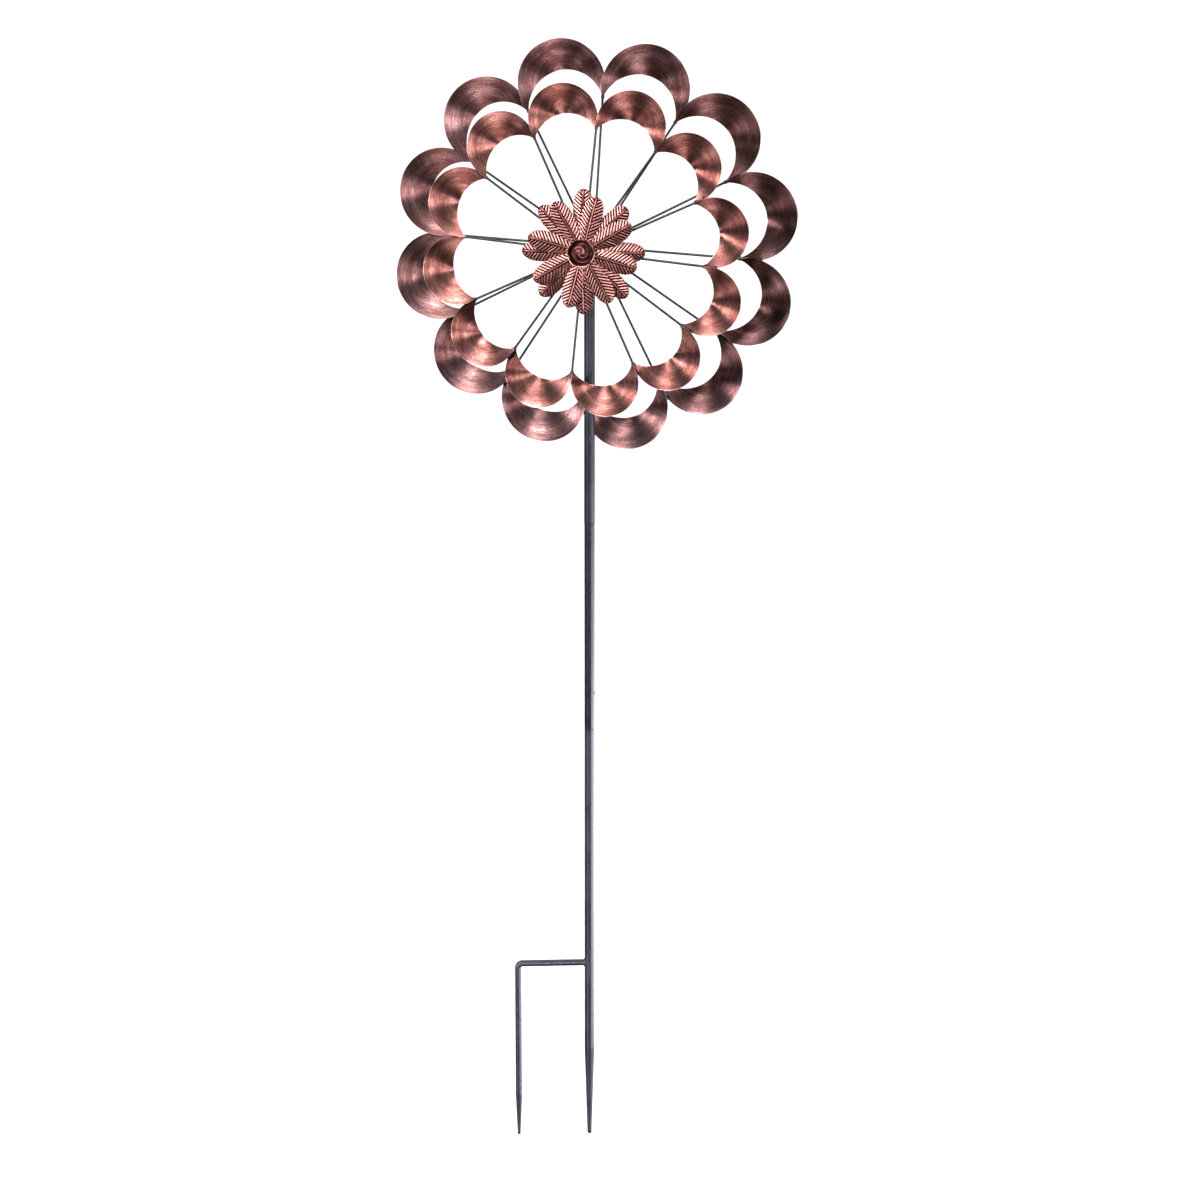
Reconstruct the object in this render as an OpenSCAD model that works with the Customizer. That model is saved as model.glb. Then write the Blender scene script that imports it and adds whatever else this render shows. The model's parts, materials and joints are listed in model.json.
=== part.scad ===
// Kinetic garden wind sculpture: two flower-shaped wheels of dished crescent blades turn on one level
// axle at the top of a three-piece pole, which a two-pronged fork holds in the ground.
// Origin: the pole's axis at the ground line. +Z is up, -Y is the side that the wheels face.

/* [Stand] */
// Height of the wheel axle above the ground line
axle_height = 1112; // [1000:1:1300]
// Height of the bottom edge of the upper pole section
upper_joint_height = 702; // [600:1:800]
// Height of the bottom edge of the middle pole section
lower_joint_height = 383; // [300:1:480]
// Outside diameter of the upper pole section
upper_d = 16; // [15.8:0.1:18]
// Outside diameter of the middle and lower pole sections
pole_d = 15.4; // [14.8:0.1:15.6]
// Wall thickness of all pole sections
pole_wall = 1.2; // [1:0.1:1.4]
// Length of the reduced neck that goes up into the section above
neck_length = 80; // [70:5:110]
// How far the upper section rises above the axle
top_rise = 18; // [17:1:30]
// Height of each locking screw above its joint
screw_rise = 57; // [30:1:65]

/* [Ground fork] */
// Depth of both points below the ground line
fork_depth = 280; // [240:1:350]
// Distance from the pole's axis to the side prong's axis
fork_width = 111; // [80:1:140]
// Turn of the fork about the pole, away from the plane of the wheels
fork_turn = 14; // [0:1:90]
// Diameter of the side prong's rod
prong_d = 10; // [8:0.5:12]
// Bend radius of the side prong, to the middle of the rod
prong_bend = 6.5; // [6.5:0.5:20]
// Length of the taper at the foot of the pole
pole_taper = 145; // [80:1:200]
// Length of the taper at the foot of the side prong
prong_taper = 66; // [40:1:120]
// Diameter of the pole's blunt tip
pole_tip_d = 6.5; // [4:0.5:8]
// Diameter of the side prong's blunt tip
prong_tip_d = 4.6; // [3:0.2:6]

/* [Wheels] */
// Number of blades on each wheel, and of spokes
blades = 12; // [12:1:12]
// Diameter of the spoke rods
spoke_d = 3.5; // [3:0.1:4]
// Thickness of the blade and leaf sheet
sheet = 0.8; // [0.6:0.1:1]
// Angle at which a blade's dish falls away from its rim
dish_angle = 12; // [5:1:18]
// Outside diameter of both hubs
hub_d = 30; // [28:1:36]
// Length of both hubs, without the front hub's nose
hub_length = 22; // [20:1:24]

/* [Front wheel] */
// Distance of the front wheel's spokes in front of the pole's axis
front_reach = 41; // [37:1:50]
// Radius of the circle through the centres of the front blades
front_ring = 192.5; // [190:0.5:194]
// Radius of a front blade's outer edge
front_blade_r = 50.8; // [50.6:0.1:52]
// Distance from the axle to the inner edge of a front blade, at its middle
front_inner = 199; // [197:1:205]
// Turn of the front wheel at rest
front_turn = 9.2; // [0:0.1:30]

/* [Rear wheel] */
// Distance of the rear wheel's spokes behind the pole's axis
rear_reach = 32; // [28:1:40]
// Radius of the circle through the centres of the rear blades
rear_ring = 241.5; // [239:0.5:243]
// Radius of a rear blade's outer edge
rear_blade_r = 65; // [64:0.1:66.5]
// Distance from the axle to the inner edge of a rear blade, at its middle
rear_inner = 260; // [256:1:266]
// Turn of the rear wheel at rest
rear_turn = 11.5; // [0:0.1:30]

/* [Rosette] */
// Number of leaves on each leaf plate
leaves = 8; // [6:1:8]
// Reach of the back plate's leaf tips from the axle
back_leaf_tip = 91; // [80:1:100]
// Reach of the front plate's leaf tips from the axle
front_leaf_tip = 83; // [75:1:90]
// Width of a leaf at its widest
leaf_width = 31; // [24:1:34]
// Turn of the front plate's leaves from the back plate's, as seen from the front
leaf_stagger = 30; // [20:1:40]
// Drop of the back plate's leaf tips behind its centre
leaf_drop = 6; // [4:0.5:7]
// Number of petals on the blossom cup
petals = 6; // [5:1:8]
// Diameter of the blossom cup's mouth
blossom_d = 40; // [36:1:44]
// Depth of the blossom cup
blossom_depth = 13; // [10:1:16]

/* [Axle and fastenings] */
// Diameter of the axle rod
axle_d = 8; // [8:1:8]
// Radial running clearance between the axle and the bushes
running_gap = 0.08; // [0.02:0.01:0.1]
// End play between a hub's bush and the washer beside it
end_play = 0.3; // [0.2:0.1:0.5]
// Width of the axle nuts across their flats
nut_flats = 13; // [13:1:13]

/* [Hidden] */
$fn = 96;
fit_gap = 0.05;            // radial or face clearance between pieces that don't move on each other
half_pitch = 180 / blades; // angle from a blade's middle to its spoke
axle_r = axle_d / 2;
pole_r = pole_d / 2;
upper_r = upper_d / 2;
lower_neck_r = pole_r - pole_wall - fit_gap;
upper_neck_r = upper_r - pole_wall - fit_gap;
hub_r = hub_d / 2;
prong_r = prong_d / 2;
bar_height = prong_r;      // the crossbar rests on the ground line
tip_round = 1.5;           // edge radius of both blunt tips
shoulder_h = 1;            // bevel from a section's outside down to its neck
foot_plug = 5;             // solid metal above the foot's taper, where the tube starts

// Locking screws
screw_r = 2;
screw_head_r = 2.8;
screw_head_h = 1.9;
screw_grip = 2.6;

// Bushes, washers and nuts along the axle
bush_r = 7;
flange_r = 9;
flange_h = 1.5;
bush_length = 8;
washer_r = 8;
washer_h = 1.2;
jam_nut_h = 5;
nut_h = 6.5;
dome_nut_h = 13;
dome_hollow = 4;           // from the axle's rear end to the dome nut's top
axle_end = 1.8;            // axle showing past the front nut
socket_depth = 2.5;        // of a spoke in its hub

// Stations along the axle, as distances from the pole's axis
jam_nut_face = upper_r + fit_gap + jam_nut_h;
nose_length = 5;
front_hub_back = front_reach - hub_length / 2;
front_hub_face = front_reach + hub_length / 2;
front_nose = front_hub_face + nose_length;
front_inner_washer = front_hub_back - flange_h - end_play - washer_h;
front_outer_washer = front_nose + flange_h + end_play;
front_nut_start = front_outer_washer + washer_h;
rear_hub_face = rear_reach - hub_length / 2;
rear_hub_back = rear_reach + hub_length / 2;
rear_inner_washer = rear_hub_face - flange_h - end_play - washer_h;
rear_outer_washer = rear_hub_back + flange_h + end_play;
rear_nut_start = rear_outer_washer + washer_h;
front_axle_end = front_nut_start + nut_h + axle_end;
rear_axle_end = rear_nut_start + dome_nut_h - dome_hollow;

// Rosette stack in front of the front hub
plate_gap = 0.02;
plate_rise = leaf_drop * pow(hub_r / back_leaf_tip, 2); // of a plate's middle over the hub's edge
back_plate_z = front_hub_face + plate_rise + plate_gap;
front_plate_z = back_plate_z + sheet + plate_gap;
blossom_z = front_plate_z + sheet + plate_gap;
nose_r = 9.2;
plate_hole_r = nose_r + fit_gap;
plate_disc_r = 20;
leaf_root = 14;            // a leaf's outline starts under the plate's disc
leaf_widest = 0.6;         // fraction of a leaf's length at which it is widest
leaf_root_share = 0.42;    // a leaf's width at its root, as a share of its widest
cup_wall = 0.9;
cup_base_r = 15;
bud_wall = 1;
bud_clearance = 1;         // between the bud's inside and the axle's end

copper = [0.56, 0.29, 0.24];
dark_copper = [0.42, 0.23, 0.20];
pink_copper = [0.76, 0.47, 0.40];
black = [0.17, 0.16, 0.20];
fork_grey = [0.24, 0.25, 0.28];
zinc = [0.66, 0.67, 0.69];
bronze = [0.66, 0.50, 0.30];

// ---- frames of reference ----

// Puts a wheel's own frame in place: its +Z points along the axle to the front, its +Y points up.
module on_axle() {
    translate([0, 0, axle_height]) rotate([90, 0, 0]) children();
}

// As on_axle, with +Z pointing to the rear.
module on_axle_rear() {
    translate([0, 0, axle_height]) rotate([-90, 0, 0]) children();
}

module around(count, first = 0) {
    for (i = [0 : count - 1]) rotate([0, 0, first + i * 360 / count]) children();
}

// A straight tube or washer between two stations.
module ring(outer_r, inner_r, from, to) {
    translate([0, 0, from]) difference() {
        cylinder(r = outer_r, h = to - from);
        translate([0, 0, -1]) cylinder(r = inner_r, h = to - from + 2);
    }
}

// ---- stand ----

// A pointed foot's outline, from its tip up to where the taper ends.
function taper_points(top_r, tip_r, bottom, taper) = [
    [0, bottom],
    for (a = [0 : 15 : 90]) [tip_r - tip_round + tip_round * sin(a), bottom + tip_round * (1 - cos(a))],
    [top_r, bottom + taper]
];

// Cross hole for a locking screw, drilled outwards from the pole's axis.
module screw_hole(height, turn) {
    translate([0, 0, height]) rotate([0, 90, turn]) cylinder(r = screw_r + fit_gap, h = upper_r + 2);
}

// A neck's bore and a section's bore meet in a short cone inside the tube.
module pole_section(bottom, top, outer_r, neck_r) {
    bore_r = outer_r - pole_wall;
    neck_bore_r = neck_r - pole_wall;
    rotate_extrude() polygon([
        [bore_r, bottom],
        [outer_r, bottom],
        [outer_r, top - shoulder_h],
        [neck_r, top],
        [neck_r, top + neck_length - shoulder_h],
        [neck_r - shoulder_h / 2, top + neck_length],
        [neck_bore_r, top + neck_length],
        [neck_bore_r, top - 4 * shoulder_h],
        [bore_r, top - 8 * shoulder_h]
    ]);
}

module lower_pole() {
    solid_top = pole_taper - fork_depth + foot_plug;
    color(fork_grey) difference() {
        union() {
            rotate_extrude() polygon([
                each taper_points(pole_r, pole_tip_d / 2, -fork_depth, pole_taper),
                [pole_r, solid_top],
                [0, solid_top]
            ]);
            pole_section(solid_top, lower_joint_height, pole_r, lower_neck_r);
        }
        screw_hole(lower_joint_height + screw_rise, 0);
    }
}

module side_prong() {
    bar_length = fork_width - prong_bend;
    color(fork_grey) rotate([0, 0, fork_turn]) difference() {
        union() {
            translate([-bar_length, 0, bar_height]) rotate([0, 90, 0]) cylinder(r = prong_r, h = bar_length);
            translate([-bar_length, 0, bar_height - prong_bend]) rotate([90, 0, 180])
                rotate_extrude(angle = 90) translate([prong_bend, 0]) circle(r = prong_r);
            translate([-fork_width, 0, 0]) rotate_extrude() polygon([
                each taper_points(prong_r, prong_tip_d / 2, -fork_depth, prong_taper),
                [prong_r, bar_height - prong_bend],
                [0, bar_height - prong_bend]
            ]);
        }
        translate([0, 0, -prong_d]) cylinder(r = pole_r + fit_gap, h = 3 * prong_d);
    }
}

module middle_pole() {
    color(black) difference() {
        pole_section(lower_joint_height, upper_joint_height, pole_r, upper_neck_r);
        screw_hole(lower_joint_height + screw_rise, 0);
        screw_hole(upper_joint_height + screw_rise, 90);
    }
}

module upper_pole() {
    color(black) difference() {
        ring(upper_r, upper_r - pole_wall, upper_joint_height, axle_height + top_rise);
        on_axle() cylinder(r = axle_r + fit_gap, h = 4 * upper_r, center = true);
        screw_hole(upper_joint_height + screw_rise, 90);
    }
}

module pole_cap() {
    plug_r = upper_r - pole_wall - fit_gap;
    plug_depth = 10;
    crown = 3.5;
    color(black) translate([0, 0, axle_height + top_rise + fit_gap]) rotate_extrude() union() {
        translate([0, -plug_depth]) square([plug_r, plug_depth + 0.5]);
        square([upper_r, 1.2]);
        intersection() {
            translate([0, 1.2 + crown - (upper_r * upper_r + crown * crown) / (2 * crown)])
                circle(r = (upper_r * upper_r + crown * crown) / (2 * crown));
            translate([0, 1]) square([upper_r, crown + 1]);
        }
    }
}

// Round-headed screw along +X, its head resting on a tube of the given radius.
module joint_screw(height, turn, tube_r) {
    rotate([0, 0, turn]) translate([tube_r + fit_gap, 0, height]) rotate([0, 90, 0]) rotate_extrude() polygon([
        [0, -screw_grip],
        [screw_r, -screw_grip],
        [screw_r, 0],
        [screw_head_r, 0],
        [screw_head_r, 0.5],
        for (a = [30 : 20 : 90]) [screw_head_r * cos(a), 0.5 + (screw_head_h - 0.5) * sin(a)]
    ]);
}

module joint_screws() {
    color(zinc) {
        joint_screw(lower_joint_height + screw_rise, 0, pole_r);
        joint_screw(upper_joint_height + screw_rise, 90, upper_r);
    }
}

// ---- axle and fastenings ----

module axle() {
    chamfer = 0.8;
    color(zinc) on_axle() rotate_extrude() polygon([
        [0, -rear_axle_end],
        [axle_r - chamfer, -rear_axle_end],
        [axle_r, chamfer - rear_axle_end],
        [axle_r, front_axle_end - chamfer],
        [axle_r - chamfer, front_axle_end],
        [0, front_axle_end]
    ]);
}

// Hexagon nut from one station to another, with both faces chamfered.
module nut(from, height) {
    corner_r = nut_flats / 2 / cos(30);
    edge = 0.7;
    translate([0, 0, from]) difference() {
        intersection() {
            cylinder(r = corner_r, h = height, $fn = 6);
            rotate_extrude() polygon([
                [0, 0],
                [corner_r - edge, 0],
                [corner_r, edge * tan(30)],
                [corner_r, height - edge * tan(30)],
                [corner_r - edge, height],
                [0, height]
            ]);
        }
        translate([0, 0, -1]) cylinder(r = axle_r + fit_gap, h = height + 2);
    }
}

module pole_jam_nuts() {
    color(zinc) {
        on_axle() nut(upper_r + fit_gap, jam_nut_h);
        on_axle_rear() nut(upper_r + fit_gap, jam_nut_h);
    }
}

module axle_spacers() {
    color(zinc) {
        on_axle() ring(bush_r, axle_r + fit_gap, jam_nut_face, front_inner_washer);
        on_axle_rear() ring(bush_r, axle_r + fit_gap, jam_nut_face, rear_inner_washer);
    }
}

module thrust_washers() {
    color(zinc) {
        on_axle() for (z = [front_inner_washer, front_outer_washer])
            ring(washer_r, axle_r + fit_gap, z, z + washer_h);
        on_axle_rear() for (z = [rear_inner_washer, rear_outer_washer])
            ring(washer_r, axle_r + fit_gap, z, z + washer_h);
    }
}

module front_axle_nut() {
    color(zinc) on_axle() nut(front_nut_start, nut_h);
}

module rear_dome_nut() {
    dome_r = nut_flats / 2 - 0.4;
    bore_depth = dome_nut_h - dome_hollow + end_play;
    color(zinc) on_axle_rear() difference() {
        union() {
            nut(rear_nut_start, nut_h);
            translate([0, 0, rear_nut_start + nut_h - 0.5]) intersection() {
                sphere(r = dome_r);
                cylinder(r = dome_r, h = dome_r);
            }
        }
        translate([0, 0, rear_nut_start - 1]) cylinder(r = axle_r + fit_gap, h = bore_depth + 1);
    }
}

// ---- wheel pieces, each in the wheel's own frame, with the spokes in the plane z = 0 ----

// Angle that lays a blade's two ends in front of one spoke and behind the next.
function blade_pitch(ring_r, blade_r) = let (
    line_r = ring_r * sin(half_pitch),
    rim_rise = (blade_r - line_r) * tan(dish_angle),
    tip_x = tip_reach(ring_r, blade_r) * sin(half_pitch)
) asin((spoke_d / 2 + sheet / 2 / cos(dish_angle) + fit_gap + rim_rise) / tip_x);

// Distances from the axle at which a blade's rim crosses the spoke: its tip, and its shoulder.
function rim_chord(ring_r, blade_r) = sqrt(pow(blade_r, 2) - pow(ring_r * sin(half_pitch), 2));
function tip_reach(ring_r, blade_r) = ring_r * cos(half_pitch) - rim_chord(ring_r, blade_r);
function shoulder_reach(ring_r, blade_r) = ring_r * cos(half_pitch) + rim_chord(ring_r, blade_r);

// Centre of the blade's inner edge, an arc through both tips and the inner edge's middle.
function inner_centre(ring_r, blade_r, inner) = let (
    tip = tip_reach(ring_r, blade_r)
) (tip * tip - inner * inner) / (2 * (tip * cos(half_pitch) - inner));

// Crescent of sheet, dished as a cone about the centre of its own rim.
module blade(ring_r, blade_r, inner) {
    centre = inner_centre(ring_r, blade_r, inner);
    line_r = ring_r * sin(half_pitch);
    half_sheet = sheet / 2 / cos(dish_angle);
    start_r = inner - ring_r - 2;
    end_r = blade_r + 2;
    start_z = (start_r - line_r) * tan(dish_angle);
    end_z = (end_r - line_r) * tan(dish_angle);
    rotate([0, blade_pitch(ring_r, blade_r), 0]) translate([0, ring_r, 0]) intersection() {
        rotate_extrude() polygon([
            [start_r, start_z - half_sheet],
            [end_r, end_z - half_sheet],
            [end_r, end_z + half_sheet],
            [start_r, start_z + half_sheet]
        ]);
        linear_extrude(height = 60, center = true) difference() {
            circle(r = blade_r);
            translate([0, centre - ring_r]) circle(r = inner - centre);
        }
    }
}

module spokes(ring_r, blade_r, turn) {
    start = hub_r - socket_depth;
    around(blades, turn + half_pitch) rotate([-90, 0, 0])
        translate([0, 0, start]) cylinder(r = spoke_d / 2, h = shoulder_reach(ring_r, blade_r) - start);
}

// Turned hub with a bore for its bushes and a socket for each spoke.
module hub(turn, nose) {
    edge = 1;
    difference() {
        rotate_extrude() polygon([
            [bush_r + fit_gap, -hub_length / 2],
            [hub_r - edge, -hub_length / 2],
            [hub_r, edge - hub_length / 2],
            [hub_r, hub_length / 2 - edge],
            [hub_r - edge, hub_length / 2],
            if (nose > 0) [nose_r, hub_length / 2],
            if (nose > 0) [nose_r, hub_length / 2 + nose],
            [bush_r + fit_gap, hub_length / 2 + nose]
        ]);
        around(blades, turn + half_pitch) rotate([-90, 0, 0])
            translate([0, 0, hub_r - socket_depth - fit_gap])
                cylinder(r = spoke_d / 2 + fit_gap, h = socket_depth + 1);
    }
}

// Flanged bush with its flange at z = 0 and its barrel going down into the hub.
module bush() {
    difference() {
        union() {
            cylinder(r = flange_r, h = flange_h);
            translate([0, 0, -bush_length]) cylinder(r = bush_r, h = bush_length + 0.5);
        }
        translate([0, 0, -bush_length - 1])
            cylinder(r = axle_r + running_gap, h = bush_length + flange_h + 2);
    }
}

module bush_pair(back, face) {
    translate([0, 0, face]) bush();
    translate([0, 0, back]) mirror([0, 0, 1]) bush();
}

// ---- rosette ----

// Half width of a leaf at a fraction of its length, 0 at the root and 1 at the tip.
// Up to its widest it grows as a sine does, and past that it closes as a blunt ellipse does.
function leaf_half_width(t) = t > leaf_widest
    ? leaf_width / 2 * pow(1 - pow((t - leaf_widest) / (1 - leaf_widest), 2.4), 1 / 2.1)
    : leaf_width / 2 * (leaf_root_share + (1 - leaf_root_share) * sin(90 * t / leaf_widest));

// The outline's points lie closer together towards the tip, where it turns most.
module leaf_outline(tip) {
    steps = 14;
    side = [for (i = [0 : steps]) let (t = 1 - pow(1 - i / steps, 1.6)) [
        leaf_half_width(t), leaf_root + (tip - leaf_root) * t
    ]];
    polygon([for (p = side) p, for (i = [steps - 1 : -1 : 0]) [-side[i][0], side[i][1]]]);
}

// Stamped leaf plate, domed to the front, with the underside of its middle at z = 0.
module leaf_plate(tip, turn) {
    dome_r = (pow(back_leaf_tip, 2) + pow(leaf_drop, 2)) / (2 * leaf_drop);
    difference() {
        intersection() {
            translate([0, 0, sheet - dome_r]) difference() {
                sphere(r = dome_r, $fn = 128);
                sphere(r = dome_r - sheet, $fn = 128);
            }
            linear_extrude(height = 60, center = true) {
                circle(r = plate_disc_r);
                around(leaves, turn) leaf_outline(tip);
            }
        }
        translate([0, 0, -30]) cylinder(r = plate_hole_r, h = 60);
    }
}

// Cup of petals: a thin bowl whose mouth is cut into scallops.
module blossom_cup() {
    mouth_r = blossom_d / 2;
    notch_r = 3.2;
    color(dark_copper) on_axle() translate([0, 0, blossom_z]) difference() {
        rotate_extrude() polygon([
            [plate_hole_r, 0],
            [cup_base_r, 0],
            for (a = [0 : 15 : 90]) [
                cup_base_r + (mouth_r - cup_base_r) * sin(a),
                blossom_depth * (1 - cos(a))
            ],
            for (a = [90 : -15 : 0]) [
                cup_base_r - cup_wall + (mouth_r - cup_base_r) * sin(a),
                cup_wall + (blossom_depth - cup_wall) * (1 - cos(a))
            ],
            [plate_hole_r, cup_wall]
        ]);
        around(petals, 180 / petals) translate([mouth_r, 0, blossom_depth])
            rotate([0, 90, 0]) cylinder(r = notch_r, h = 12, center = true);
    }
}

// Domed cap in the cup's middle, pressed on around the nose, that hides the axle's nut.
module blossom_bud() {
    inner_r = nose_r + fit_gap;
    outer_r = inner_r + bud_wall;
    seat = blossom_z + cup_wall + plate_gap;
    shoulder = front_nut_start + nut_h - 2;
    crown = front_axle_end + bud_clearance - shoulder;
    color(dark_copper) on_axle() rotate_extrude() polygon([
        [inner_r, seat],
        [outer_r, seat],
        for (a = [0 : 15 : 90]) [outer_r * cos(a), shoulder + (crown + bud_wall) * sin(a)],
        for (a = [90 : -15 : 0]) [inner_r * cos(a), shoulder + crown * sin(a)]
    ]);
}

module back_leaf_plate() {
    color(pink_copper) on_axle() translate([0, 0, back_plate_z]) leaf_plate(back_leaf_tip, 0);
}

module front_leaf_plate() {
    color(pink_copper) on_axle() translate([0, 0, front_plate_z]) leaf_plate(front_leaf_tip, leaf_stagger);
}

// ---- wheels ----

module in_front_wheel() {
    on_axle() translate([0, 0, front_reach]) children();
}

module in_rear_wheel() {
    on_axle() translate([0, 0, -rear_reach]) children();
}

module front_blade(number) {
    color(copper) in_front_wheel() rotate([0, 0, front_turn - (number - 1) * 360 / blades])
        blade(front_ring, front_blade_r, front_inner);
}

module rear_blade(number) {
    color(dark_copper) in_rear_wheel() rotate([0, 0, rear_turn - (number - 1) * 360 / blades])
        blade(rear_ring, rear_blade_r, rear_inner);
}

module front_spokes() {
    color(black) in_front_wheel() spokes(front_ring, front_blade_r, front_turn);
}

module rear_spokes() {
    color(black) in_rear_wheel() spokes(rear_ring, rear_blade_r, rear_turn);
}

module front_hub() {
    color(black) in_front_wheel() hub(front_turn, nose_length);
}

module rear_hub() {
    color(black) in_rear_wheel() hub(rear_turn, 0);
}

module front_bushes() {
    color(bronze) in_front_wheel() bush_pair(-hub_length / 2, hub_length / 2 + nose_length);
}

module rear_bushes() {
    color(bronze) in_rear_wheel() bush_pair(-hub_length / 2, hub_length / 2);
}

lower_pole();
side_prong();
middle_pole();
upper_pole();
pole_cap();
joint_screws();
axle();
pole_jam_nuts();
axle_spacers();
thrust_washers();
front_axle_nut();
rear_dome_nut();
front_hub();
front_bushes();
front_spokes();
front_blade(1);  // front_blade_01
front_blade(2);  // front_blade_02
front_blade(3);  // front_blade_03
front_blade(4);  // front_blade_04
front_blade(5);  // front_blade_05
front_blade(6);  // front_blade_06
front_blade(7);  // front_blade_07
front_blade(8);  // front_blade_08
front_blade(9);  // front_blade_09
front_blade(10);  // front_blade_10
front_blade(11);  // front_blade_11
front_blade(12);  // front_blade_12
back_leaf_plate();
front_leaf_plate();
blossom_cup();
blossom_bud();
rear_hub();
rear_bushes();
rear_spokes();
rear_blade(1);  // rear_blade_01
rear_blade(2);  // rear_blade_02
rear_blade(3);  // rear_blade_03
rear_blade(4);  // rear_blade_04
rear_blade(5);  // rear_blade_05
rear_blade(6);  // rear_blade_06
rear_blade(7);  // rear_blade_07
rear_blade(8);  // rear_blade_08
rear_blade(9);  // rear_blade_09
rear_blade(10);  // rear_blade_10
rear_blade(11);  // rear_blade_11
rear_blade(12);  // rear_blade_12
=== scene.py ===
"""Looks of a garden wind sculpture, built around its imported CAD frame.

Two flower-shaped wheels of brushed copper crescents and a rosette of stamped leaves turn on one axle at the
top of a black jointed pole with a two-pronged ground fork. Lengths are metres and angles are radians.
"""

import json
import logging
import math
from collections.abc import Mapping, Sequence
from dataclasses import dataclass
from enum import Enum
from typing import Any

import bmesh
import bpy
import numpy as np
from bpy.types import Material, Mesh, Node, NodeSocket, NodeTree, Object
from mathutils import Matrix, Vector


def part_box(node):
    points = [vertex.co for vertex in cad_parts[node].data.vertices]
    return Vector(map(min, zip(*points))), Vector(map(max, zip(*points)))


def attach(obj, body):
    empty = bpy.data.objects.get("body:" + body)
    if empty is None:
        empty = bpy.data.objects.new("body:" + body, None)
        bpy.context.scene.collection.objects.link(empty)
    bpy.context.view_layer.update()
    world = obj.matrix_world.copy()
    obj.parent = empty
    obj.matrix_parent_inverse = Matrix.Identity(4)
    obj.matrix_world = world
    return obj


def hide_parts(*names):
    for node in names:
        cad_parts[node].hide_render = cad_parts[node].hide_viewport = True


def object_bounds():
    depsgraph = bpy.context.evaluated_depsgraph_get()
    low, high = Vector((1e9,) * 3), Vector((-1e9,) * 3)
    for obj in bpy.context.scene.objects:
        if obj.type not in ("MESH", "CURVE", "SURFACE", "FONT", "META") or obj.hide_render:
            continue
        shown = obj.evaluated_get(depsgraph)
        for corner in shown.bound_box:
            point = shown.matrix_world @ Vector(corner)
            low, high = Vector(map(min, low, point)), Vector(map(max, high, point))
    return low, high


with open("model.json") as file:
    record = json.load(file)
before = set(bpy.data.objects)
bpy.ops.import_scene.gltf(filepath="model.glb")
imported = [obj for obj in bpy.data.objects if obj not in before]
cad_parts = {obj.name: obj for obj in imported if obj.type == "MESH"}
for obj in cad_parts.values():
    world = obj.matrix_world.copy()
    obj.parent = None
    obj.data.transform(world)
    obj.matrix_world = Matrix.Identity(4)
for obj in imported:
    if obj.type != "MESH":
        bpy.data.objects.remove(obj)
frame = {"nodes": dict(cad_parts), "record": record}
CAD_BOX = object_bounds()

MM = 0.001
SAME_PLACE = 0.002 * MM
LOG = logging.getLogger("wind_sculpture")
Colour = tuple[float, float, float, float]
# The kinds of node used most.
MATH = "ShaderNodeMath"
VECTOR_MATH = "ShaderNodeVectorMath"
MAP_RANGE = "ShaderNodeMapRange"
COMBINE = "ShaderNodeCombineXYZ"
TRANSFORM = "GeometryNodeTransform"


# ---- nodes and meshes ----


def linear(code: str) -> Colour:
    """Turns an sRGB hex colour into the linear colour that shaders take.

    Args:
        code: six hex digits with a leading #.

    Returns:
        Linear red, green, blue and an alpha of 1.
    """
    parts = [int(code[i:i + 2], 16) / 255 for i in (1, 3, 5)]
    red, green, blue = (p / 12.92 if p <= 0.04045 else ((p + 0.055) / 1.055) ** 2.4 for p in parts)
    return red, green, blue, 1.0


def add_node(tree: NodeTree, kind: str, sockets: Mapping[Any, Any] | None = None,
             stops: Sequence[tuple[float, str]] = (), **settings: Any) -> Node:
    """Adds one node with its settings and links.

    Args:
        tree: the node tree to add to.
        kind: the node's type name.
        sockets: what each input takes, by name or index: a value, an output, or a node for its first output.
        stops: places and hex colours of a colour ramp.
        **settings: the node's own properties.

    Returns:
        The new node.
    """
    node = tree.nodes.new(kind)
    for name, value in settings.items():
        setattr(node, name, value)
    if stops:
        ramp = node.color_ramp
        while len(ramp.elements) < len(stops):
            ramp.elements.new(1.0)
        for element, (place, code) in zip(ramp.elements, stops):
            element.position = place
            element.color = linear(code)
    for key, value in (sockets or {}).items():
        named = [s for s in node.inputs if s.name == key and not s.is_unavailable]
        socket = node.inputs[key] if isinstance(key, int) else named[0]
        if isinstance(value, Node):
            value = next(s for s in value.outputs if not s.is_unavailable)
        if isinstance(value, NodeSocket):
            tree.links.new(value, socket)
        else:
            socket.default_value = value
    return node


def new_tree(name: str, inputs: Mapping[str, str]) -> tuple[NodeTree, Node]:
    """Starts a Geometry Nodes tree.

    Args:
        name: the tree's name.
        inputs: socket type of each named input, after the geometry.

    Returns:
        The tree and its group input node.
    """
    tree = bpy.data.node_groups.new(name, "GeometryNodeTree")
    tree.interface.new_socket("Geometry", in_out="INPUT", socket_type="NodeSocketGeometry")
    for label, kind in inputs.items():
        tree.interface.new_socket(label, in_out="INPUT", socket_type="NodeSocket" + kind)
    tree.interface.new_socket("Geometry", in_out="OUTPUT", socket_type="NodeSocketGeometry")
    return tree, tree.nodes.new("NodeGroupInput")


def end_tree(tree: NodeTree, geometry: Node, material: NodeSocket) -> None:
    """Ends a tree in real geometry with its material.

    Args:
        tree: the tree to end.
        geometry: the node whose geometry is the result.
        material: the material socket of the tree's input.
    """
    real = add_node(tree, "GeometryNodeRealizeInstances", {"Geometry": geometry})
    dressed = add_node(tree, "GeometryNodeSetMaterial", {"Geometry": real, "Material": material})
    add_node(tree, "NodeGroupOutput", {"Geometry": dressed})


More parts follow.
